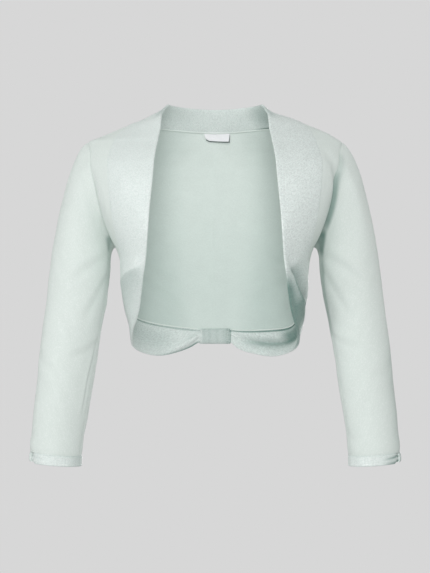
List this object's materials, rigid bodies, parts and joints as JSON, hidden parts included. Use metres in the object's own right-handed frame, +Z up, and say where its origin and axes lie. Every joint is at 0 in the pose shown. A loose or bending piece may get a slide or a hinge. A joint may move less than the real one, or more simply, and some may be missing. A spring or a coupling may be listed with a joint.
{
  "type": "knitted shrug",
  "caption": "Cropped open-front knitted shrug in its worn, hollow shape: wide folded band, tab-gathered back hem, slim fronts, three-quarter sleeves and narrow cuffs.",
  "frame": {"origin": "middle of the neck opening at the height of the shoulders, where the wearer's neck and shoulders hold the garment", "axes": "+Z up along the body, -Y is the garment's open front, +X is towards the wearer's left sleeve"},
  "size_m": [0.552, 0.2147, 0.54],
  "materials": {
    "knit": "fine mint-green jersey knit with a thin glitter yarn, soft sheen",
    "band_knit": "the same knit, double layer, with more glitter on its face",
    "label_satin": "white satin, blank"
  },
  "bodies": {
    "root": {"back": "knit", "front_left": "knit", "front_right": "knit", "band_left": "band_knit", "band_right": "band_knit", "tab_hem": "band_knit", "sleeve_left": "knit", "sleeve_right": "knit", "cuff_left": "band_knit", "cuff_right": "band_knit", "tab_cuff_left": "band_knit", "tab_cuff_right": "band_knit", "label": "label_satin"}
  },
  "joints": []
}
